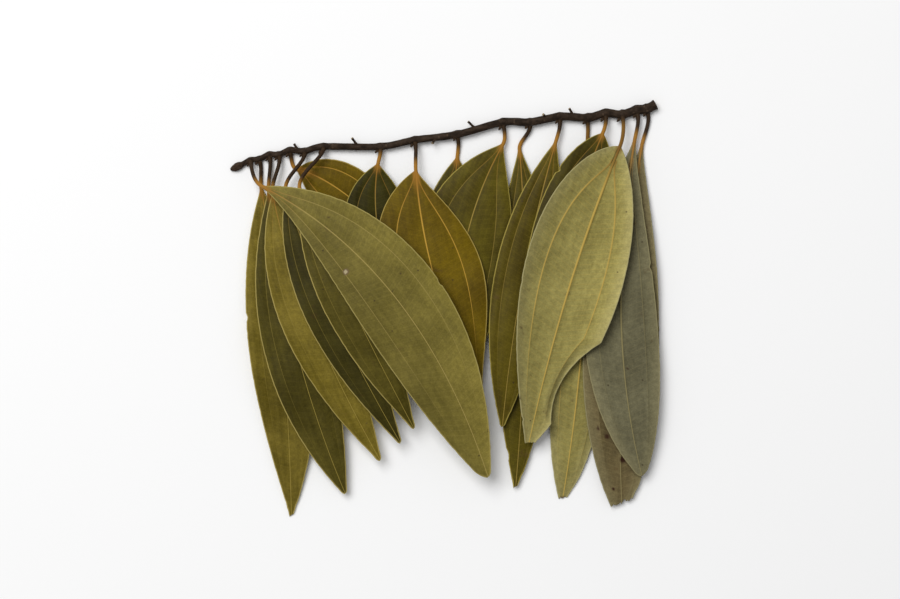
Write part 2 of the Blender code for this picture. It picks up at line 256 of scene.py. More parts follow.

# Look: finish, lightness, warmth, torn end. Then nicks as share along, side, depth and length,
# scars as share along, share across, size and tone, how far the margins roll up, a painted side
# light: how much lighter one half is painted than the other, and how much deeper the colour gets
# towards the tip.
LOOK = {
    "leaf_01": (
        "grey", 1.15, 0.6, 2.5, ((0.55, -1, 1.2, 4), (0.83, 1, 1.5, 5)),
        (
            (0.771, -0.42, 1.5, -1), (0.829, 0.1, 1.9, -1), (0.75, -0.68, 0.9, -1),
            (0.9, -0.45, 0.9, -1),
        ),
    ),
    "leaf_02": (
        "grey", 1.03, -0.1, 0.3, ((0.35, 1, 0.8, 3),),
        ((0.655, 0.1, 0.7, -0.8), (0.4, -0.5, 0.5, -0.6)),
    ),
    "leaf_03": (
        "khaki", 1.08, 0.0, 0.95, ((0.9, -1, 0.6, 2), (0.5, -1, 0.4, 3)),
        (
            (0.632, -0.88, 0.9, -0.6), (0.65, -0.82, 0.7, -0.5), (0.765, -0.47, 0.7, -0.35),
            (0.84, -0.98, 0.9, -0.6), (0.185, -0.65, 0.5, -0.5), (0.273, -0.85, 0.45, -0.6),
            (0.39, 0.37, 0.6, -0.3), (0.72, 0.1, 0.4, -0.7),
        ),
        0.8, 0.25, 0.13,
    ),
    "leaf_04": ("dark", 0.8, -0.1, 0.3, ((0.22, -1, 1.0, 3),)),
    "leaf_05": ("khaki", 0.89, 0.0, 1.0, ((0.78, 1, 0.8, 3),), ((0.985, 0.1, 2.2, -0.8),)),
    "leaf_06": ("dark", 1.15, 0.15),
    "leaf_07": ("dark", 0.95, 0.0, 1.5, ((0.9, -1, 0.7, 5),)),
    "leaf_08": ("dark", 1.22, -0.05, 0.3, ((0.3, 1, 0.7, 2),), (), 0.0, 0.0, 0.3),
    "leaf_09": ("dark", 0.9, -0.2),
    "leaf_10": ("golden", 0.97, -0.05, 0.3, (), ((0.3, 0.6, 0.5, -0.5),)),
    "leaf_11": ("dark", 0.75, -0.6),
    "leaf_12": ("moss", 0.84, 0.0),
    "leaf_13": ("moss", 0.54, -0.3),
    "leaf_14": ("golden", 1.05, -0.05),
    "leaf_15": ("moss", 1.85, 0.2),
    "leaf_16": ("moss", 0.79, -0.1),
    "leaf_17": ("moss", 2.0, 0.2, 1.2, ((0.4, -1, 0.7, 4),), (), 0.0, 0.0, 0.25),
    "leaf_18": (
        "olive", 1.12, 0.12, 0.3, ((0.52, 1, 0.7, 3),),
        ((0.337, -0.55, 1.9, 1), (0.2, 0.3, 0.5, -0.6), (0.71, 0.4, 0.6, -0.5)),
        0.8, 0.2,
    ),
}

LEAVES = {name: Leaf(*PLAN[name], *FORM[name], DENTS.get(name), *LOOK[name]) for name in PLAN}


class Finish(NamedTuple):
    """One face of a dried leaf: its linear colours, how matt and how glossy it is, how strong its
    net and side veins are, and its rib's half width in mm. Then, in mm along from the blade's
    base, where the stalk turns dark and how far its orange flush reaches, and how light that is."""

    light: tuple
    dark: tuple
    vein: tuple
    margin: tuple
    roughness: float
    gloss: float
    net: float
    side_veins: float
    rib: float
    stalk_turn: float
    flush: float = 6.0
    base: float = 1.0


FINISHES = {
    "khaki": Finish(
        (0.282, 0.242, 0.069), (0.194, 0.164, 0.042), (0.47, 0.32, 0.07), (0.36, 0.32, 0.15),
        roughness=0.62, gloss=0.10, net=0.09, side_veins=0.9, rib=0.52, stalk_turn=-11.0, base=0.55,
    ),
    "grey": Finish(
        (0.140, 0.127, 0.071), (0.098, 0.088, 0.048), (0.24, 0.20, 0.085), (0.25, 0.22, 0.11),
        roughness=0.60, gloss=0.10, net=0.06, side_veins=0.45, rib=0.40, stalk_turn=-4.5,
    ),
    "olive": Finish(
        (0.162, 0.134, 0.027), (0.106, 0.087, 0.015), (0.36, 0.275, 0.085), (0.34, 0.28, 0.09),
        roughness=0.52, gloss=0.08, net=0.035, side_veins=0.6, rib=0.40, stalk_turn=-4.5,
    ),
    "moss": Finish(
        (0.105, 0.083, 0.012), (0.054, 0.042, 0.003), (0.32, 0.24, 0.05), (0.38, 0.30, 0.09),
        roughness=0.50, gloss=0.06, net=0.018, side_veins=0.4, rib=0.38, stalk_turn=-4.5,
    ),
    "dark": Finish(
        (0.086, 0.067, 0.005), (0.044, 0.032, 0.002), (0.36, 0.25, 0.055), (0.34, 0.27, 0.06),
        roughness=0.47, gloss=0.06, net=0.018, side_veins=0.5, rib=0.40, stalk_turn=-4.5,
    ),
    "golden": Finish(
        (0.142, 0.092, 0.003), (0.086, 0.053, 0.001), (0.55, 0.32, 0.05), (0.40, 0.30, 0.08),
        roughness=0.50, gloss=0.05, net=0.02, side_veins=0.8, rib=0.46, stalk_turn=-4.5, flush=13.0,
    ),
}
UNDERSIDE_UP = ("khaki", "grey")
HIDDEN_FACE = {
    "khaki": "olive", "grey": "dark", "olive": "khaki", "moss": "khaki", "dark": "grey", "golden": "khaki",
}

# How pale a face gets towards its margin, partly its own paler rim and partly a painted highlight on the
# rolled margin, how mottled it is and how strong its bump is.
UNDERSIDE_TEXTURE = (0.32, 0.38, 0.5)
TOP_TEXTURE = (0.0, 0.32, 0.25)

# Linear colours that all faces share. The tints make a leaf warmer or greener.
WARM_TINT = (0.30, 0.17, 0.03)
GREEN_TINT = (0.10, 0.16, 0.04)
BROWN_SPOT = (0.07, 0.038, 0.012)
DARK_SPECK = (0.035, 0.022, 0.010)
SCAR_HALO = (0.15, 0.10, 0.055)
SCAR_CORE = (0.42, 0.36, 0.21)
DARK_SCAR = (0.035, 0.012, 0.006)
LENTICEL = (0.10, 0.065, 0.04)


class SprigLeafSettings(bpy.types.PropertyGroup):
    """Sizes and colours that all leaves share"""

    blade: FloatProperty(
        name="Blade", description="Thickness of a dried blade", default=0.00034, min=0.0001, unit="LENGTH"
    )
    rib_rise: FloatProperty(
        name="Rib rise", description="How far the middle rib stands out", default=0.00055, unit="LENGTH"
    )
    vein_rise: FloatProperty(
        name="Vein rise", description="How far the side veins stand out", default=0.00026, unit="LENGTH"
    )
    ripple: FloatProperty(
        name="Ripple", description="Depth of the drying ripples", default=0.0003, unit="LENGTH"
    )
    base_colour: FloatVectorProperty(
        name="Base colour", description="Orange-brown of a leaf's base", default=(0.32, 0.148, 0.022),
        subtype="COLOR", min=0.0, max=1.0,
    )
    stalk_colour: FloatVectorProperty(
        name="Stalk colour", description="Dark brown of a dried stalk", default=(0.028, 0.016, 0.008),
        subtype="COLOR", min=0.0, max=1.0,
    )


class SprigTwigSettings(bpy.types.PropertyGroup):
    """Colours and buds of the twig"""

    bark: FloatVectorProperty(
        name="Bark", description="Main colour of the bark", default=(0.026, 0.015, 0.008),
        subtype="COLOR", min=0.0, max=1.0,
    )
    wood: FloatVectorProperty(
        name="Cut wood", description="Colour of the wood at the cut", default=(0.33, 0.24, 0.13),
        subtype="COLOR", min=0.0, max=1.0,
    )
    bud_length: FloatProperty(
        name="Bud length", description="Length of a bud beside a stalk", default=0.0024, unit="LENGTH"
    )


class SprigStageSettings(bpy.types.PropertyGroup):
    """The floor, the light and the camera"""

    floor: FloatVectorProperty(
        name="Floor", description="Colour of the floor", default=(0.90, 0.90, 0.90),
        subtype="COLOR", min=0.0, max=1.0,
    )
    key_power: FloatProperty(
        name="Key light", description="Power of the large soft light", default=51.0, min=0.0, unit="POWER"
    )
    ambient: FloatProperty(
        name="Ambient", description="Strength of the even light from all round", default=0.39, min=0.0
    )
    focal: FloatProperty(
        name="Focal length", description="Focal length of the camera in mm", default=85.0, min=20.0
    )


def unit(vector):
    return vector / np.linalg.norm(vector)


def smooth(low, high, value):
    t = np.clip((value - low) / (high - low), 0.0, 1.0)
    return t * t * (3 - 2 * t)


def hermite(start, leave, end, arrive, u):
    u = np.asarray(u)[..., None]
    return (
        (2 * u**3 - 3 * u**2 + 1) * start
        + (u**3 - 2 * u**2 + u) * leave
        + (3 * u**2 - 2 * u**3) * end
        + (u**3 - u**2) * arrive
    )


def noise_field(points, scale, seed):
    """Smooth noise between -1 and 1 at plan points, with features about scale mm across."""
    flat = points.reshape(-1, 2) / scale
    values = [noise.noise(Vector((x, y, seed))) for x, y in flat]
    return np.array(values).reshape(points.shape[:-1])


def noise_along(places, second, third):
    """Noise at places along one line through its field."""
    return np.array([noise.noise(Vector((place, second, third))) for place in places])


def place_piece(piece):
    """Puts a finished piece in the scene and on the sprig's one body."""
    bpy.context.scene.collection.objects.link(piece)
    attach(piece, "root")


# The form of the leaves and the twig, as in the solids


def middle_vein(leaf, s):
    """Plan points and directions of the middle vein at shares s of the blade's length."""
    base, bend, tip = (np.array(p, float) for p in (leaf.base, leaf.bend, leaf.tip))
    s = np.asarray(s)[..., None]
    point = (1 - s) ** 2 * base + 2 * s * (1 - s) * bend + s**2 * tip
    direction = (1 - s) * (bend - base) + s * (tip - bend)
    return point, direction / np.linalg.norm(direction, axis=-1, keepdims=True)


def dent_depth(leaf, s, side):
    """How far the margin is drawn in at shares s."""
    if leaf.dent is None or leaf.dent[0] != side:
        return 0.0
    _, start, end, depth = leaf.dent
    u = (s - start) / (end - start)
    return np.maximum(0.0, depth * 4 * u * (1 - u))


def blade_half(leaf, s, side):
    """Half the blade's width at shares s: widest at its peak, wedge-shaped at base and tip."""
    peak = leaf.peak + leaf.skew * side
    rise = (s / peak) ** (leaf.full * peak)
    fall = ((1 - s) / (1 - peak)) ** (leaf.full * (1 - peak))
    return np.hypot(leaf.width / 2 * rise * fall, STALK_HALF) - dent_depth(leaf, s, side)


def blade_height(leaf, s, v, half):
    """The blade's own form: arched, cambered, twisted and waved."""
    across = v * half * 2 / leaf.width
    ripple = np.sin(leaf.phase + 2 * math.pi * WAVES * s + np.where(v > 0, WAVE_LAG, 0.0))
    return (
        leaf.arch * 4 * s * (1 - s)
        - leaf.camber * across**2
        + math.tan(math.radians(leaf.twist)) * across * leaf.width / 2 * s
        + leaf.wave * np.abs(across) ** 1.5 * ripple
    )


def resting_height(name, point):
    """The middle height of a solid leaf at a plan point, from its nearest vertices."""
    places = np.array([vert.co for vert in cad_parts[name].data.vertices]) / MM
    away = np.hypot(*(places[:, :2] - (point - CENTRE)).T)
    near = places[away < away.min() + NEAREST, 2]
    return (near.min() + near.max()) / 2


def twig_point(index):
    """A knot of the twig as a point in space, with the twig's radius there."""
    t = index / (len(TWIG_KNOTS) - 1)
    x, y = TWIG_KNOTS[index]
    radius = (TWIG_THICK_CUT * (1 - t) + TWIG_THICK_TIP * t) / 2
    height = radius - TWIG_FLAT + TWIG_HUMP * math.sin(math.pi * t) ** 2
    return np.array((x, y, height)), radius


def stalk_outward(index):
    """The plan direction in which a stalk leaves its knot."""
    along = twig_point(index + 1)[0] - twig_point(index - 1)[0]
    return unit(np.array((-along[1], along[0])))


def stalk_line(leaf, base_height, slope):
    """Points of the stalk from its knot on the twig to the blade, and their plan directions."""
    knot, radius = twig_point(leaf.knot)
    lean = max(LEAN_LEAST, min(LEAN_MOST, math.atan2(base_height - knot[2], LEAN_RUN)))
    leave = np.append(stalk_outward(leaf.knot) * math.cos(lean), math.sin(lean))
    start = knot + leave * (radius - STALK_SUNK)
    plan, direction = middle_vein(leaf, 0.0)
    end, arrive = np.append(plan, base_height), np.append(direction, slope)
    reach = np.linalg.norm(end - start)
    u = np.linspace(0, 1, STALK_ROWS, endpoint=False)
    points = hermite(start, leave * reach, end, arrive * reach, u)
    points[:, 2] = np.maximum(points[:, 2], STALK_THICK / 2 + STALK_LIFT)
    steps = np.gradient(points[:, :2], axis=0)
    return points, steps / np.linalg.norm(steps, axis=1, keepdims=True)


# The fine form of the leaves


def vein_start(leaf):
    """The share of the length where the side veins part from the rib."""
    return VEIN_START_UNDER if leaf.finish in UNDERSIDE_UP else VEIN_START_TOP


def side_vein(leaf, s):
    """Where a side vein runs, as a share of the half width."""
    away = np.clip(s - vein_start(leaf), 0.0, None)
    return VEIN_SHARE * (1 - np.exp(-away / VEIN_SPREAD))


def column_shares(leaf, s, half):
    """Shares of the half width from rib to margin, close together at the veins and the margin."""
    half = np.maximum(half, STALK_HALF)
    kinds = (RIB_COLUMN, VEIN_COLUMN, MARGIN_COLUMN)
    rib, vein, edge = (np.minimum(wide / half, most) for wide, most in kinds)
    lateral = np.minimum(np.hypot(side_vein(leaf, s), rib + 2 * vein), 1 - edge - 2 * vein)
    inner, outer = lateral - vein - rib, 1 - edge - lateral - vein
    columns = [rib * 0, rib * 0.5, rib]
    columns += [rib + inner * k / (INNER_COLUMNS + 1) for k in range(1, INNER_COLUMNS + 1)]
    columns += [lateral - vein, lateral, lateral + vein]
    columns += [lateral + vein + outer * k / (OUTER_COLUMNS + 1) for k in range(1, OUTER_COLUMNS + 1)]
    columns += [1 - edge, rib * 0 + 1.0]
    return np.stack(columns, axis=1), lateral


def relief(count, centre, beside):
    """A profile over one side's columns: 1 at a vein's middle and less in the columns beside it."""
    profile = np.zeros(count)
    profile[max(centre - 1, 0) : centre + 2] = beside
    profile[centre] = 1.0
    return np.concatenate((profile[:0:-1], profile))[None, :]


def margin_bites(leaf, s, side, length):
    """How far the margin is worn in: small unevenness all along, and the leaf's own nicks."""
    bite = WORN_DEPTH * noise_along(s * length / WORN_SIZE, leaf.knot * MARGIN_SEED, side)
    for place, nick_side, depth, span in leaf.nicks:
        if nick_side == side:
            bite += depth * np.clip(1 - np.abs(s - place) * length / (span / 2), 0, 1) ** 0.6
    return bite * smooth(0.02, 0.12, s)


def leaf_side(leaf, side):
    """One side of a leaf from rib to margin, as arrays of the same shape over rows and columns."""
    t = np.linspace(0, 1, BLADE_ROWS)
    s = (1 - leaf.blunt) * (ROWS_EVEN * t + (1 - ROWS_EVEN) / 2 * (1 - np.cos(math.pi * t)))
    s = np.concatenate((np.zeros(STALK_ROWS), s))
    on_blade = np.arange(len(s)) >= STALK_ROWS
    half = np.where(on_blade, blade_half(leaf, s, side), STALK_HALF)
    length = np.linalg.norm(np.subtract(leaf.tip, leaf.base))
    if leaf.torn < TORN_DEEP:
        to_end = np.clip((1 - leaf.blunt - s) * length / (TIP_ROUND * half[-1]), 0.01, 1.0)
        half = half * np.sqrt(to_end * (2 - to_end))
    shares, lateral = column_shares(leaf, s, half)

    last = side * shares[-1]
    jag = TORN_SLOPE * (1 + last)
    for number, level, depth in TORN_JAGS:
        jag = jag + depth * np.abs(noise_along(last * number, leaf.knot * MARGIN_SEED, level))
    ends = smooth(TORN_START, 1.0, s / s[-1])[:, None] * leaf.torn / length * jag[None, :]
    margin = half - np.where(on_blade, margin_bites(leaf, s, side, length), 0.0)

    outer = np.clip((shares - lateral[:, None]) / (1 - lateral[:, None]), 0, None)
    across = np.minimum(shares, lateral[:, None]) * half[:, None]
    across = across + outer * (margin - lateral * half)[:, None]
    wide = np.ones_like(shares)
    return {
        "s": np.clip(s[:, None] - ends, 0.0, 1.0),
        "across": across * side,
        "share": shares * side,
        "lateral": lateral[:, None] * wide,
        "half": half[:, None] * wide,
        "margin": margin[:, None] * wide,
    }


def lay_leaf(leaf, name, s, share, half):
    """Plan points, directions and heights of a leaf's rows and columns, from the twig to the tip.
    The blade is tilted until its base and its tip lie as high as the solid's."""
    base_height = resting_height(name, np.array(leaf.base, float))
    end = 1 - leaf.blunt
    tip_height = resting_height(name, middle_vein(leaf, end)[0])
    own_tip = blade_height(leaf, np.array(end), np.array(0.0), leaf.width / 2)
    tilt = (tip_height - base_height - own_tip) / end

    plan, direction = middle_vein(leaf, s)
    height = blade_height(leaf, s, share, half) + base_height + tilt * s
    centre = s.shape[1] // 2
    rise = height[STALK_ROWS + 1, centre] - height[STALK_ROWS, centre]
    run = np.linalg.norm(plan[STALK_ROWS + 1, centre] - plan[STALK_ROWS, centre])
    stalk, stalk_direction = stalk_line(leaf, base_height, rise / run)
    plan[:STALK_ROWS] = stalk[:, None, :2]
    direction[:STALK_ROWS] = stalk_direction[:, None]
    height[:STALK_ROWS] = stalk[:, None, 2]
    return plan, direction, height


def near_margin(share, start):
    """0 inside a share of the half width, growing to 1 at the margin."""
    return np.clip((np.abs(share) - start) / (1 - start), 0, 1) ** 2


def fine_height(leaf, grid, plan, settings):
    """What the solid's height lacks: puffed panels, ripples, and margins that curl, roll or bend."""
    s, share, lateral = grid["s"], grid["share"], grid["lateral"]
    out = np.abs(share)
    in_panel = np.where(out < lateral, out / lateral, (out - lateral) / (1 - lateral))
    puff = PUFF * np.sin(math.pi * in_panel) * smooth(0.02, 0.2, s) * smooth(1.0, 0.75, s)
    height = -puff if leaf.finish in UNDERSIDE_UP else puff
    seed = leaf.knot * RIPPLE_SEED
    ripples = sum(strength * noise_field(plan, size, seed) for size, strength in RIPPLES)
    height = height + settings.ripple / MM * ripples * smooth(0.0, 0.15, s)
    curl = near_margin(share, CURL_START) * smooth(0.05, 0.3, s)
    height = height + CURL * curl * noise_field(plan, CURL_SIZE, seed + 9)
    roll = near_margin(share, ROLL_START) * smooth(0.03, 0.25, s)
    height = height + leaf.roll * roll * (ROLL_LEAST + noise_field(plan, ROLL_SIZE, seed + 5)).clip(0)
    if leaf.dent:
        drawn_in = dent_depth(leaf, s, leaf.dent[0]) / leaf.dent[-1]
        height = height - DENT_DROP * drawn_in**0.5 * smooth(0.35, 1.0, share * leaf.dent[0]) ** 1.5
    return height


def leaf_marks(leaf, s, share, half, length):
    """A leaf's look at each of its points: its lightness, with one half painted lighter and the other
    darker as painted side light, its warmth and its scars.
    """
    scar = np.zeros_like(s)
    for place, place_across, size, tone in leaf.scars:
        away = np.hypot((s - place) * length, (share - place_across) * half)
        scar = scar + tone * smooth(size, size * 0.4, away)
    # Painted side light: one half of the blade is painted lighter and the other half darker.
    lightness = leaf.lightness * (1 + leaf.painted_side_light * share)
    lightness = lightness * (1 - leaf.deepen * smooth(0.1, 0.7, s))
    return np.stack((lightness, np.full_like(s, leaf.warmth), scar), -1)


def leaf_surface(leaf, name, settings):
    """Places and thicknesses of a leaf's sheet in metres, and what its materials read, in mm."""
    left, right = (leaf_side(leaf, side) for side in (-1, 1))
    grid = {key: np.concatenate((left[key][:, :0:-1], right[key]), axis=1) for key in left}
    s, across, share, half, margin = (grid[key] for key in ("s", "across", "share", "half", "margin"))
    count = left["s"].shape[1]
    plan, direction, height = lay_leaf(leaf, name, s, share, half)

    steps = np.linalg.norm(np.diff(plan[:, count - 1], axis=0), axis=1)
    from_twig = np.concatenate(([0.0], np.cumsum(steps)))[:, None] * np.ones_like(s)
    along = from_twig - from_twig[STALK_ROWS]
    on_blade = (np.arange(len(s)) >= STALK_ROWS)[:, None]
    swell = np.where(on_blade, 1.0, 1 + STALK_SWELL * np.exp(-from_twig / STALK_SWELL_REACH))
    across = across * swell
    plan = plan + np.stack((-direction[..., 1], direction[..., 0]), -1) * across[..., None]

    rib, vein = relief(count, 0, RIB_SHOULDER), relief(count, INNER_COLUMNS + 4, VEIN_SHOULDER)
    rib_rise = settings.rib_rise / MM * (1.15 - s) * rib
    vein_rise = settings.vein_rise / MM * smooth(1.0, 0.7, s) * vein
    stalk_share = np.exp(-s / STALK_FLATTENS)
    proud = (rib_rise + vein_rise) * (1 - stalk_share)
    round_stalk = STALK_THICK * swell * np.sqrt(1 - 0.97 * share**2)
    thick = (settings.blade / MM + proud) * (1 - stalk_share) + round_stalk * stalk_share
    height = height + (proud / 2 if leaf.finish in UNDERSIDE_UP else -proud / 2)
    height = height + fine_height(leaf, grid, plan, settings)

    before_start = smooth(vein_start(leaf), vein_start(leaf) * 0.2, s)
    to_vein = np.abs(np.abs(across) - grid["lateral"] * half) + 2.0 * before_start
    return {
        "place": np.concatenate((plan - CENTRE, height[..., None]), -1) * MM,
        "thick": thick * MM,
        "gauge": np.stack((np.abs(across), to_vein, margin - np.abs(across)), -1),
        "route": np.stack((along, across, s), -1),
        "marks": leaf_marks(leaf, s, share, half, along[-1, 0]),
    }


def make_leaf(leaf, name, settings):
    """A fine sheet in the leaf's form, given its thickness by Solidify."""
    surface = leaf_surface(leaf, name, settings)
    rows, columns = surface["thick"].shape
    mesh = bpy.data.meshes.new("dried_" + name)
    bm = bmesh.new()
    bmesh.ops.create_grid(bm, x_segments=rows - 1, y_segments=columns - 1, size=1.0)
    bm.to_mesh(mesh)
    bm.free()
    flat = np.empty(len(mesh.vertices) * 3)
    mesh.vertices.foreach_get("co", flat)
    flat = flat.reshape(-1, 3)
    row = np.rint((flat[:, 0] + 1) / 2 * (rows - 1)).astype(int)
    column = np.rint((flat[:, 1] + 1) / 2 * (columns - 1)).astype(int)
    mesh.vertices.foreach_set("co", surface["place"][row, column].ravel())
    for label in ("gauge", "route", "marks"):
        attribute = mesh.attributes.new(label, "FLOAT_VECTOR", "POINT")
        attribute.data.foreach_set("vector", surface[label][row, column].ravel())
    mesh.shade_smooth()
    mesh.update()
    for material in (leaf_material(leaf.finish), leaf_material(HIDDEN_FACE[leaf.finish])):
        mesh.materials.append(material)
    sheet = bpy.data.objects.new("dried_" + name, mesh)
    group = sheet.vertex_groups.new(name="thickness")
    thick = surface["thick"][row, column]
    for index, weight in enumerate((thick / thick.max()).tolist()):
        group.add([index], weight, "REPLACE")
    solidify = sheet.modifiers.new("thickness", "SOLIDIFY")
    solidify.thickness = float(thick.max())
    solidify.offset = 0.0
    solidify.vertex_group = group.name
    solidify.material_offset = 1
    return sheet


# The twig, its buds and its stubs


def twig_path():
    """Points and radii along the twig: a smooth line through its knots, swollen at each."""
    knots = [np.append(*twig_point(i)) for i in range(len(TWIG_KNOTS))]
    path = []
    for i in range(len(knots) - 1):
        before, after = knots[max(i - 1, 0)], knots[min(i + 2, len(knots) - 1)]
        leave, arrive = (knots[i + 1] - before) / 2, (after - knots[i]) / 2
        span = np.linalg.norm(knots[i + 1][:2] - knots[i][:2])
        for step in range(TWIG_STEPS):
            u = step / TWIG_STEPS
            point = hermite(knots[i], leave, knots[i + 1], arrive, u)
            from_knot = min(u, 1 - u) * span / TWIG_SWELL_REACH
            point[3] *= TWIG_WAIST + TWIG_SWELL * math.exp(-(from_knot**2))
            path.append(point)
    path.append(knots[-1])
    return np.array(path)


def next_ring(fresh, ring):
    """The new ring's vertices in the old ring's order, matched along the edges between them."""
    return [next(e.other_vert(v) for e in v.link_edges if e.other_vert(v) in fresh) for v in ring]


def sideways(head):
    """Two unit directions across a heading: level, and upwards from it."""
    right = unit(np.cross(head, (0, 0, 1)))
    return right, unit(np.cross(right, head))


def place_vert(vert, route, place, own):
    """Puts a vertex at a plan place in mm, never below the floor, and keeps its own route."""
    vert.co = Vector((place[0] - CENTRE[0], place[1] - CENTRE[1], max(place[2], 0.0))) * MM
    vert[route] = Vector(own)


def add_tube(bm, route, path, sides, lumps, seed):
    """A closed tube: a circle extruded from point to point of a path of x, y, z and radius."""
    ring = bmesh.ops.create_circle(bm, cap_ends=False, segments=sides, radius=1.0)["verts"]
    angles = [math.atan2(vert.co.y, vert.co.x) for vert in ring]
    edges = list(dict.fromkeys(edge for vert in ring for edge in vert.link_edges))
    first = ring
    heads = np.gradient(path[:, :3], axis=0)
    lengths = np.concatenate(([0.0], np.cumsum(np.linalg.norm(np.diff(path[:, :3], axis=0), axis=1))))
    for index, (point, head, length) in enumerate(zip(path, heads, lengths)):
        if index:
            made = bmesh.ops.extrude_edge_only(bm, edges=edges)["geom"]
            fresh = {part for part in made if isinstance(part, bmesh.types.BMVert)}
            edges = [p for p in made if isinstance(p, bmesh.types.BMEdge) and fresh.issuperset(p.verts)]
            ring = next_ring(fresh, ring)
        right, up = sideways(head)
        for vert, angle in zip(ring, angles):
            outward = right * math.cos(angle) + up * math.sin(angle)
            x, _, z = outward
            lump = sum(
                strength * noise.noise(Vector((x * round_it, length * along_it, z * round_it + seed)))
                for round_it, along_it, strength in LUMPS
            )
            radius = point[3] * (1 + lumps * lump)
            place_vert(vert, route, point[:3] + outward * radius, (length, x * radius, z * radius))
    return bm.faces.new(first), bm.faces.new(ring)


def add_cut(bm, face, bark, pith):
    """A cut end: a rim of bark, the wood inside it and a small sunken pith."""
    bmesh.ops.inset_region(bm, faces=[face], thickness=bark * MM, depth=0.0, use_even_offset=True)
    face.material_index = 1
    bmesh.ops.inset_region(bm, faces=[face], thickness=pith * MM, depth=-0.1 * MM, use_even_offset=True)


def finish_mesh(bm, name, materials):
    """A new object from a bmesh of closed shapes, shaded smooth but for its sharp rims."""
    bmesh.ops.recalc_face_normals(bm, faces=bm.faces[:])
    mesh = bpy.data.meshes.new(name)
    bm.to_mesh(mesh)
    bm.free()
    mesh.shade_smooth()
    mesh.set_sharp_from_angle(angle=math.radians(50))
    for material in materials:
        mesh.materials.append(material)
    return bpy.data.objects.new(name, mesh)


def start_mesh():
    bm = bmesh.new()
    return bm, bm.verts.layers.float_vector.new("route")


def make_twig_wood(settings):
    bm, route = start_mesh()
    cut, _ = add_tube(bm, route, twig_path(), sides=TWIG_SIDES, lumps=0.09, seed=0.0)
    add_cut(bm, cut, bark=0.3, pith=1.1)
    return finish_mesh(bm, "twig_wood", (bark_material(settings), wood_material(settings)))


def add_bud(bm, route, root, head, length, radius, scales):
    """A bud in mm: an egg-shaped core in overlapping pointed scales, set in a spiral."""
    head = unit(head)
    right, up = sideways(head)

    def girth(t):
        return radius * math.sqrt(max(1 - (2 * t - 1) ** 2, 0.0)) * (1.12 - 0.4 * t)

    def set_vert(vert, t, angle, away):
        x, y = math.cos(angle) * away, math.sin(angle) * away
        place_vert(vert, route, root + head * length * t + right * x + up * y, (length * t, x, y))

    for vert in bmesh.ops.create_uvsphere(bm, u_segments=14, v_segments=10, radius=1.0)["verts"]:
        t = (vert.co.z + 1) / 2
        set_vert(vert, t, math.atan2(vert.co.y, vert.co.x), girth(t))
    for k in range(scales):
        turn = k * SPIRAL_ANGLE
        start = 0.08 + 0.45 * k / scales
        made = bmesh.ops.create_grid(bm, x_segments=8, y_segments=8, size=1.0)["verts"]
        for vert in made:
            across, t = vert.co.x, (vert.co.y + 1) / 2
            angle = turn + across * 1.1 * (1 - t**2.5) ** 0.5
            lift = radius * (0.06 + 0.1 * t * (1 - abs(across)))
            share = start + 0.5 * t
            set_vert(vert, share, angle, girth(min(share, 0.99)) + lift)
        faces = list(dict.fromkeys(face for vert in made for face in vert.link_faces))
        bmesh.ops.solidify(bm, geom=faces, thickness=0.06 * radius * MM)


def make_buds(settings):
    """A bud at each leaf's knot, on the twig's tip side of the stalk, and the one that ends the twig."""
    bm, route = start_mesh()
    length = settings.bud_length / MM
    for leaf in LEAVES.values():
        knot, radius = twig_point(leaf.knot)
        outward = np.append(stalk_outward(leaf.knot), 0.25)
        ahead = unit(twig_point(leaf.knot + 1)[0] - knot)
        root = knot + ahead * 0.9 + unit(outward) * (radius - 0.5)
        size = 1 + 0.25 * noise.noise(Vector((leaf.knot * 1.7, 0.4, 0.0)))
        head = outward + 0.9 * ahead
        add_bud(bm, route, root, head, length=length * size, radius=SIDE_BUD * size, scales=4)
    end = twig_point(len(TWIG_KNOTS) - 1)[0]
    ahead = unit(end - twig_point(len(TWIG_KNOTS) - 2)[0])
    add_bud(bm, route, end - ahead, ahead, length=END_BUD_LENGTH, radius=END_BUD, scales=9)
    return finish_mesh(bm, "twig_buds", (bud_material(settings),))


# Where a leaf has dropped: place along the twig, counted in knots, side angle, length in mm.
STUBS = ((5.5, 65, 3.4), (6.4, 40, 2.6), (8.6, 75, 3.8), (9.5, -50, 3.0), (11.4, 55, 4.0), (13.5, 80, 2.4))
STUB_STEPS = 9
STUB_SIDES = 14
STUB_HALF = 0.62


def make_stubs(settings):
    """Short broken stalks on the twig's bare side, where leaves have dropped."""
    bm, route = start_mesh()
    for index, (place, tilt, length) in enumerate(STUBS):
        low = int(place)
        (start, radius), (end, _) = twig_point(low), twig_point(low + 1)
        root = start + (end - start) * (place - low)
        ahead = unit(end - start)
        side, rise = math.sin(math.radians(tilt)), math.cos(math.radians(tilt))
        head = unit(np.array((ahead[1] * side, -ahead[0] * side, rise)))
        head = unit(head + ahead * 0.45)
        path = []
        for t in np.linspace(0, 1, STUB_STEPS):
            point = root + head * (radius * 0.5 + length * t) + ahead * 0.4 * t * t
            path.append(np.append(point, STUB_HALF * (1.35 - 0.55 * smooth(0.0, 0.45, t) + 0.15 * t)))
        _, cut = add_tube(bm, route, np.array(path), sides=STUB_SIDES, lumps=0.12, seed=index * 3.1)
        add_cut(bm, cut, bark=0.12, pith=0.3)
    return finish_mesh(bm, "twig_stubs", (bark_material(settings), wood_material(settings)))


# Shader helpers


def put(tree, socket, value):
    """Links a socket to another, or sets it to a number or a colour."""
    if isinstance(value, bpy.types.NodeSocket):
        tree.links.new(value, socket)
    elif socket.type == "RGBA":
        socket.default_value = (*value, 1.0)
    else:
        socket.default_value = value


def calc(tree, operation, a, b=0.0):
    made = tree.nodes.new("ShaderNodeMath")
    made.operation = operation
    put(tree, made.inputs[0], a)
    put(tree, made.inputs[1], b)
    return made.outputs[0]


def times(tree, a, b):
    return calc(tree, "MULTIPLY", a, b)


def plus(tree, a, b):
    return calc(tree, "ADD", a, b)


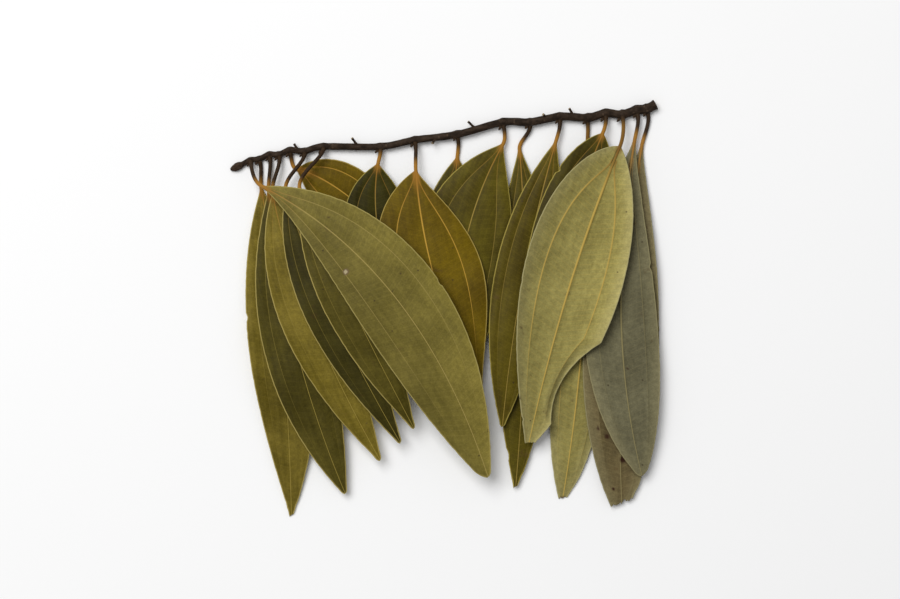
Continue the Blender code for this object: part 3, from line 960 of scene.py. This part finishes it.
def ramp(tree, value, low, high, to_low=0.0, to_high=1.0):
    """A soft step of a value from one pair of numbers to another."""
    made = tree.nodes.new("ShaderNodeMapRange")
    made.interpolation_type = "SMOOTHSTEP"
    for socket, number in zip(made.inputs, (value, low, high, to_low, to_high)):
        put(tree, socket, number)
    return made.outputs[0]


def fade(tree, value, low, high):
    """1 below low, 0 above high."""
    return ramp(tree, value, low, high, 1.0, 0.0)


def mix(tree, share, a, b, blend="MIX"):
    made = tree.nodes.new("ShaderNodeMix")
    made.data_type = "RGBA"
    made.blend_type = blend
    colours = [socket for socket in made.inputs if socket.type == "RGBA"]
    for socket, value in zip((made.inputs[0], *colours), (share, a, b)):
        put(tree, socket, value)
    return next(socket for socket in made.outputs if socket.type == "RGBA")


def layer(tree, colour, mask, strength, tint):
    """Lays a tint over a colour where a mask is, no stronger than its strength."""
    return mix(tree, times(tree, mask, strength), colour, tint)


def texture(tree, kind, vector, **values):
    """A procedural texture node with its properties and inputs set by name."""
    made = tree.nodes.new("ShaderNodeTex" + kind)
    put(tree, made.inputs["Vector"], vector)
    for key, value in values.items():
        if key in made.inputs.keys():
            put(tree, made.inputs[key], value)
        else:
            setattr(made, key, value)
    return made.outputs


def vector_of(tree, x=0.0, y=0.0, z=0.0):
    made = tree.nodes.new("ShaderNodeCombineXYZ")
    for socket, value in zip(made.inputs, (x, y, z)):
        put(tree, socket, value)
    return made.outputs[0]


def grey(tree, value):
    return vector_of(tree, value, value, value)


def shades(colour, *factors):
    """Darker and lighter shades of a colour."""
    return [[part * factor for part in colour] for factor in factors]


def read_parts(tree, label):
    """The three parts of one of the mesh's own vector attributes."""
    attribute = tree.nodes.new("ShaderNodeAttribute")
    attribute.attribute_name = label
    parts = tree.nodes.new("ShaderNodeSeparateXYZ")
    tree.links.new(attribute.outputs["Vector"], parts.inputs[0])
    return parts.outputs[:]


def object_place(tree):
    return tree.nodes.new("ShaderNodeTexCoord").outputs["Object"]


def start_group(name, inputs, outputs):
    """A shader node group with number inputs, given with their defaults, and number outputs."""
    tree = bpy.data.node_groups.new(name, "ShaderNodeTree")
    for label, default in inputs.items():
        socket = tree.interface.new_socket(label, in_out="INPUT", socket_type="NodeSocketFloat")
        socket.default_value = default
    for label in outputs:
        tree.interface.new_socket(label, in_out="OUTPUT", socket_type="NodeSocketFloat")
    return tree, tree.nodes.new("NodeGroupInput").outputs


def end_group(tree, results):
    out = tree.nodes.new("NodeGroupOutput")
    for label, value in results.items():
        tree.links.new(value, out.inputs[label])
    return tree


def use_group(tree, make_group, **values):
    """Places a group, made on its first use, in a material with the material's own values."""
    name = make_group.__name__
    made = tree.nodes.new("ShaderNodeGroup")
    made.node_tree = bpy.data.node_groups.get(name) or make_group(name)
    for key, value in values.items():
        put(tree, made.inputs[key.replace("_", " ")], value)
    return made.outputs


def start_material(name):
    material = bpy.data.materials.new(name)
    material.use_nodes = True
    tree = material.node_tree
    return material, tree, tree.nodes["Principled BSDF"].inputs


def set_bump(tree, shader, height, strength, distance):
    bump = tree.nodes.new("ShaderNodeBump")
    bump.inputs["Strength"].default_value = strength
    bump.inputs["Distance"].default_value = distance
    tree.links.new(height, bump.inputs["Height"])
    tree.links.new(bump.outputs[0], shader["Normal"])


# Shader node groups


def leaf_venation(name):
    """Masks of the ribs, the ladder of cross veins, the net between them, the margin and the
    zones beside the margin, which a face pales partly as its own rim and partly as a painted highlight,
    and beside the middle rib."""
    outputs = ("Ribs", "Ladder", "Net", "Margin", "Rim And Highlight", "Near Rib", "Height")
    inputs = {"Ladder Spacing": 2.4, "Rib Width": 0.55, "Side Veins": 1.0}
    tree, given = start_group(name, inputs, outputs)
    to_rib, to_vein, to_margin = read_parts(tree, "gauge")
    along, across, share = read_parts(tree, "route")
    width = times(tree, given["Rib Width"], ramp(tree, share, 0.0, 1.0, 1.15, 0.4))
    rib = fade(tree, calc(tree, "DIVIDE", to_rib, width), 0.5, 1.1)
    reach = plus(tree, times(tree, given["Side Veins"], 0.55), 0.4)
    vein = fade(tree, calc(tree, "DIVIDE", to_vein, width), 0.2, reach)
    vein = times(tree, vein, ramp(tree, share, 0.5, 0.9, given["Side Veins"], 0.12))
    ribs = calc(tree, "MAXIMUM", rib, vein)

    slant = times(tree, calc(tree, "ABSOLUTE", across), 0.38)
    lane = calc(tree, "DIVIDE", plus(tree, along, slant), given["Ladder Spacing"])
    lanes = vector_of(tree, lane, times(tree, across, 0.12))
    waves = texture(
        tree, "Wave", lanes, wave_type="BANDS", bands_direction="X", Scale=math.pi / 10,
        Distortion=2.6, Detail=2.0,
    )
    ladder = ramp(tree, waves["Fac"], 0.86, 1.0)
    flat = vector_of(tree, along, across)
    cells = texture(tree, "Voronoi", flat, feature="DISTANCE_TO_EDGE", Scale=1.15, Randomness=0.9)
    net = fade(tree, cells["Distance"], 0.0, 0.13)
    height = plus(tree, times(tree, ladder, 0.4), times(tree, net, 0.25))
    height = plus(tree, height, times(tree, ribs, 0.6))
    margin = fade(tree, to_margin, 0.25, 0.6)
    near_rib = fade(tree, to_rib, 0.8, 2.4)
    outer = fade(tree, to_margin, 0.0, 7.0)
    return end_group(tree, dict(zip(outputs, (ribs, ladder, net, margin, outer, near_rib, height))))


def dried_blotches(name):
    """The uneven tone of dried plant matter: patches, streaks, grain, dark specks and brown spots."""
    outputs = ("Tone", "Mottle", "Grain", "Specks", "Spots")
    inputs = {"Patch Scale": 42.0, "Speck Scale": 260.0, "Speck Share": 0.1}
    tree, given = start_group(name, inputs, outputs)
    here = object_place(tree)
    along, across, _ = read_parts(tree, "route")
    patches = texture(tree, "Noise", here, Scale=given["Patch Scale"], Detail=4.0, Roughness=0.55)
    lanes = vector_of(tree, times(tree, along, 0.03), times(tree, across, 0.4))
    streaks = texture(tree, "Noise", lanes, Scale=1.0, Detail=5.0, Roughness=0.6)
    tone = plus(tree, times(tree, patches["Fac"], 0.65), times(tree, streaks["Fac"], 0.35))
    mottle = texture(tree, "Noise", here, Scale=420.0, Detail=3.0, Roughness=0.6)
    grain = texture(tree, "Noise", here, Scale=1500.0, Detail=3.0, Roughness=0.6)
    dots = texture(tree, "Voronoi", here, Scale=given["Speck Scale"], Randomness=1.0)
    parts = tree.nodes.new("ShaderNodeSeparateColor")
    tree.links.new(dots["Color"], parts.inputs[0])
    chosen = calc(tree, "LESS_THAN", parts.outputs[0], given["Speck Share"])
    specks = times(tree, chosen, fade(tree, dots["Distance"], 0.06, 0.16))
    rare = texture(tree, "Noise", here, Scale=95.0, Detail=5.0, Roughness=0.62)
    spots = ramp(tree, rare["Fac"], 0.64, 0.72)
    results = (ramp(tree, tone, 0.36, 0.64), mottle["Fac"], grain["Fac"], specks, spots)
    return end_group(tree, dict(zip(outputs, results)))


def bark_grain(name):
    """Lengthwise ridges, lenticels and fine grain of thin bark, along the twig's own route."""
    outputs = ("Ridges", "Lenticels", "Grain")
    tree, given = start_group(name, {"Ridge Scale": 1.6}, outputs)
    along, right, up = read_parts(tree, "route")
    lanes = vector_of(tree, times(tree, along, 0.16), right, up)
    ridges = texture(tree, "Noise", lanes, Scale=given["Ridge Scale"], Detail=6.0, Roughness=0.62)
    spread_out = vector_of(tree, times(tree, along, 0.45), right, up)
    dots = texture(tree, "Voronoi", spread_out, Scale=0.85, Randomness=1.0)
    grain = texture(tree, "Noise", object_place(tree), Scale=2600.0, Detail=3.0)
    lenticels = fade(tree, dots["Distance"], 0.12, 0.22)
    results = (ramp(tree, ridges["Fac"], 0.3, 0.7), lenticels, grain["Fac"])
    return end_group(tree, dict(zip(outputs, results)))


# Materials


def leaf_material(name):
    """One face of a dried leaf: blade, cross veins, ribs, margin, a pale rim that is partly a painted
    highlight, orange base and dark stalk.
    """
    label = "leaf_face_" + name
    if label in bpy.data.materials:
        return bpy.data.materials[label]
    finish = FINISHES[name]
    settings = bpy.context.scene.sprig_leaves
    material, tree, shader = start_material(label)
    veins = use_group(tree, leaf_venation, Rib_Width=finish.rib, Side_Veins=finish.side_veins)
    blotches = use_group(tree, dried_blotches)
    along = read_parts(tree, "route")[0]
    lightness, warmth, scar = read_parts(tree, "marks")

    pale, mottle, bump = UNDERSIDE_TEXTURE if name in UNDERSIDE_UP else TOP_TEXTURE
    colour = mix(tree, blotches["Tone"], finish.dark, finish.light)
    colour = mix(tree, calc(tree, "MAXIMUM", warmth, 0.0), colour, WARM_TINT, "SOFT_LIGHT")
    greenness = times(tree, calc(tree, "MINIMUM", warmth, 0.0), -1.0)
    colour = mix(tree, greenness, colour, GREEN_TINT, "SOFT_LIGHT")
    colour = layer(tree, colour, veins["Net"], finish.net, finish.margin)
    colour = layer(tree, colour, veins["Ladder"], finish.net * 1.6, finish.vein)
    # Pales towards the margin: partly the face's own paler rim, partly a painted highlight of the rolled
    # margin.
    colour = layer(tree, colour, veins["Rim And Highlight"], pale, finish.margin)
    colour = mix(tree, mottle, colour, grey(tree, blotches["Mottle"]), "OVERLAY")
    colour = mix(tree, 0.4, colour, grey(tree, blotches["Grain"]), "SOFT_LIGHT")
    colour = layer(tree, colour, blotches["Spots"], 0.45, BROWN_SPOT)
    colour = layer(tree, colour, blotches["Specks"], 0.7, DARK_SPECK)
    # Each leaf's lightness. On some leaves this holds painted side light, with one half lighter and the
    # other darker.
    colour = mix(tree, 1.0, colour, grey(tree, lightness), "MULTIPLY")

    (base_colour,) = shades(settings.base_colour, finish.base)
    rib_colour = mix(tree, fade(tree, along, 0.0, 26.0), finish.vein, base_colour)
    colour = layer(tree, colour, veins["Ribs"], 0.85, rib_colour)
    colour = layer(tree, colour, veins["Margin"], 0.85, finish.margin)
    pale_scar = calc(tree, "MAXIMUM", scar, 0.0)
    dark_scar = calc(tree, "MAXIMUM", times(tree, scar, -1.0), 0.0)
    colour = mix(tree, fade(tree, pale_scar, 0.0, 0.8), SCAR_HALO, colour)
    colour = mix(tree, ramp(tree, pale_scar, 0.6, 1.1), colour, SCAR_CORE)
    colour = mix(tree, dark_scar, colour, DARK_SCAR)
    flush = times(tree, fade(tree, along, -1.0, finish.flush), veins["Near Rib"])
    colour = layer(tree, colour, flush, 0.9, base_colour)
    stalk = mix(tree, blotches["Grain"], *shades(settings.stalk_colour, 0.5, 1.9))
    colour = mix(tree, fade(tree, along, finish.stalk_turn - 2.5, finish.stalk_turn + 2.5), colour, stalk)
    tree.links.new(colour, shader["Base Color"])

    rough = plus(tree, finish.roughness - 0.08, times(tree, blotches["Grain"], 0.16))
    tree.links.new(rough, shader["Roughness"])
    shader["Specular IOR Level"].default_value = finish.gloss
    height = plus(tree, veins["Height"], times(tree, blotches["Grain"], 0.35))
    set_bump(tree, shader, height, strength=bump, distance=0.00012)
    return material


def woody_material(label, dark, light, ridge_scale):
    """Bark of the twig, its buds or its stubs, from dark in the furrows to light on the ridges."""
    if label in bpy.data.materials:
        return bpy.data.materials[label]
    material, tree, shader = start_material(label)
    bark = use_group(tree, bark_grain, Ridge_Scale=ridge_scale)
    colour = mix(tree, bark["Ridges"], dark, light)
    colour = mix(tree, 0.4, colour, grey(tree, bark["Grain"]), "SOFT_LIGHT")
    colour = layer(tree, colour, bark["Lenticels"], 0.5, LENTICEL)
    tree.links.new(colour, shader["Base Color"])
    tree.links.new(ramp(tree, bark["Ridges"], 0.0, 1.0, 0.85, 0.62), shader["Roughness"])
    shader["Specular IOR Level"].default_value = 0.15
    height = plus(tree, bark["Ridges"], times(tree, bark["Grain"], 0.3))
    set_bump(tree, shader, height, strength=0.7, distance=0.0002)
    return material


def bark_material(settings):
    return woody_material("twig_bark", *shades(settings.bark, 0.4, 1.5), ridge_scale=1.6)


def bud_material(settings):
    return woody_material("bud_scales", *shades(settings.bark, 0.7, 2.4), ridge_scale=2.6)


def wood_material(settings):
    """The pale wood of a cut end, with its rings."""
    if "cut_wood" in bpy.data.materials:
        return bpy.data.materials["cut_wood"]
    material, tree, shader = start_material("cut_wood")
    _, right, up = read_parts(tree, "route")
    squares = plus(tree, calc(tree, "POWER", right, 2.0), calc(tree, "POWER", up, 2.0))
    grain = texture(tree, "Noise", object_place(tree), Scale=2200.0, Detail=4.0)
    rings = calc(tree, "SINE", times(tree, calc(tree, "SQRT", squares), 14.0))
    tone = plus(tree, times(tree, rings, 0.15), grain["Fac"])
    colour = mix(tree, tone, *shades(settings.wood, 0.45, 1.0))
    tree.links.new(colour, shader["Base Color"])
    tree.links.new(ramp(tree, grain["Fac"], 0.3, 0.7, 0.9, 0.75), shader["Roughness"])
    set_bump(tree, shader, grain["Fac"], strength=0.4, distance=0.0001)
    return material


# Stage


def pixel_place(x, y):
    """The place on the part's plan, in metres, that a pixel of the photograph shows."""
    plan = np.array(((x - PLAN_ZERO_PIXEL[0]), (PLAN_ZERO_PIXEL[1] - y))) / PIXELS_PER_MM
    return (plan - CENTRE) * MM


def make_floor(settings):
    bm = bmesh.new()
    bmesh.ops.create_circle(bm, cap_ends=True, segments=96, radius=FLOOR_RADIUS)
    bmesh.ops.translate(bm, verts=bm.verts[:], vec=(0.0, 0.0, -FLOOR_DROP))
    mesh = bpy.data.meshes.new("floor")
    bm.to_mesh(mesh)
    bm.free()
    material, _, shader = start_material("floor")
    shader["Base Color"].default_value = (*settings.floor, 1.0)
    shader["Roughness"].default_value = 0.9
    mesh.materials.append(material)
    floor = bpy.data.objects.new("floor", mesh)
    bpy.context.scene.collection.objects.link(floor)
    floor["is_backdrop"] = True


def make_key_light(settings):
    """A large square soft light that faces the sprig."""
    data = bpy.data.lights.new("key", "AREA")
    data.shape = "SQUARE"
    data.size = KEY_SIZE
    data.energy = settings.key_power
    light = bpy.data.objects.new("key", data)
    light.location = KEY_PLACE
    light.rotation_euler = (-Vector(KEY_PLACE)).to_track_quat("-Z", "Y").to_euler()
    bpy.context.scene.collection.objects.link(light)


def make_camera(settings):
    """Looks straight down, at the photograph's scale on the leaves' mean height."""
    data = bpy.data.cameras.new("camera")
    data.lens = settings.focal
    data.sensor_width = 36.0
    data.clip_start = 0.01
    width = PICTURE_SIZE[0] / PIXELS_PER_MM * MM
    leaf_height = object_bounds()[1][2] * SCALE_HEIGHT
    x, y = pixel_place(PICTURE_SIZE[0] / 2, PICTURE_SIZE[1] / 2)
    camera = bpy.data.objects.new("camera", data)
    camera.location = (x, y, leaf_height + width * data.lens / data.sensor_width)
    bpy.context.scene.collection.objects.link(camera)
    bpy.context.scene.camera = camera


def make_world(settings):
    world = bpy.data.worlds.new("studio")
    world.use_nodes = True
    background = world.node_tree.nodes["Background"]
    background.inputs["Color"].default_value = (1.0, 1.0, 1.0, 1.0)
    background.inputs["Strength"].default_value = settings.ambient
    bpy.context.scene.world = world


# Operators


class SPRIG_OT_leaf(bpy.types.Operator):
    """Makes one dried leaf with its stalk in place of its solid"""

    bl_idname = "sprig.leaf"
    bl_label = "Dried leaf"

    leaf: StringProperty(name="Leaf", description="Name of the leaf to make", default="leaf_01")

    def execute(self, context):
        leaf = LEAVES[self.leaf]
        sheet = make_leaf(leaf, self.leaf, context.scene.sprig_leaves)
        place_piece(sheet)
        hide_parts(self.leaf)
        return {"FINISHED"}


class SPRIG_OT_twig(bpy.types.Operator):
    """Makes the twig's wood, its buds and its stubs in place of the twig's solid"""

    bl_idname = "sprig.twig"
    bl_label = "Twig"

    def execute(self, context):
        settings = context.scene.sprig_twig
        wood = make_twig_wood(settings)
        for piece in (wood, make_buds(settings), make_stubs(settings)):
            place_piece(piece)
        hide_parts("twig")
        return {"FINISHED"}


class SPRIG_OT_stage(bpy.types.Operator):
    """Makes the pale floor, the soft lights and the camera"""

    bl_idname = "sprig.stage"
    bl_label = "Stage"

    def execute(self, context):
        settings = context.scene.sprig_stage
        make_floor(settings)
        make_world(settings)
        make_key_light(settings)
        make_camera(settings)
        context.scene.view_settings.view_transform = "Standard"
        return {"FINISHED"}


class SPRIG_PT_panel(bpy.types.Panel):
    """Lists the sprig's operators and settings"""

    bl_label = "Bay Leaf Sprig"
    bl_idname = "SPRIG_PT_panel"
    bl_space_type = "VIEW_3D"
    bl_region_type = "UI"
    bl_category = "Bay Leaf"

    def draw(self, context):
        layout = self.layout
        for operator in (SPRIG_OT_leaf, SPRIG_OT_twig, SPRIG_OT_stage):
            layout.operator(operator.bl_idname)
        for name in SETTINGS:
            box = layout.box()
            group = getattr(context.scene, name)
            for key in group.__annotations__:
                box.prop(group, key)


SETTINGS = {
    "sprig_leaves": SprigLeafSettings,
    "sprig_twig": SprigTwigSettings,
    "sprig_stage": SprigStageSettings,
}
CLASSES = (*SETTINGS.values(), SPRIG_OT_leaf, SPRIG_OT_twig, SPRIG_OT_stage, SPRIG_PT_panel)


def register():
    for cls in CLASSES:
        bpy.utils.register_class(cls)
    for name, cls in SETTINGS.items():
        setattr(bpy.types.Scene, name, PointerProperty(type=cls))


def unregister():
    for name in SETTINGS:
        delattr(bpy.types.Scene, name)
    for cls in reversed(CLASSES):
        bpy.utils.unregister_class(cls)


def main():
    register()
    bpy.ops.sprig.stage()
    for name in LEAVES:
        bpy.ops.sprig.leaf(leaf=name)
    bpy.ops.sprig.twig()


if __name__ == "__main__":
    main()
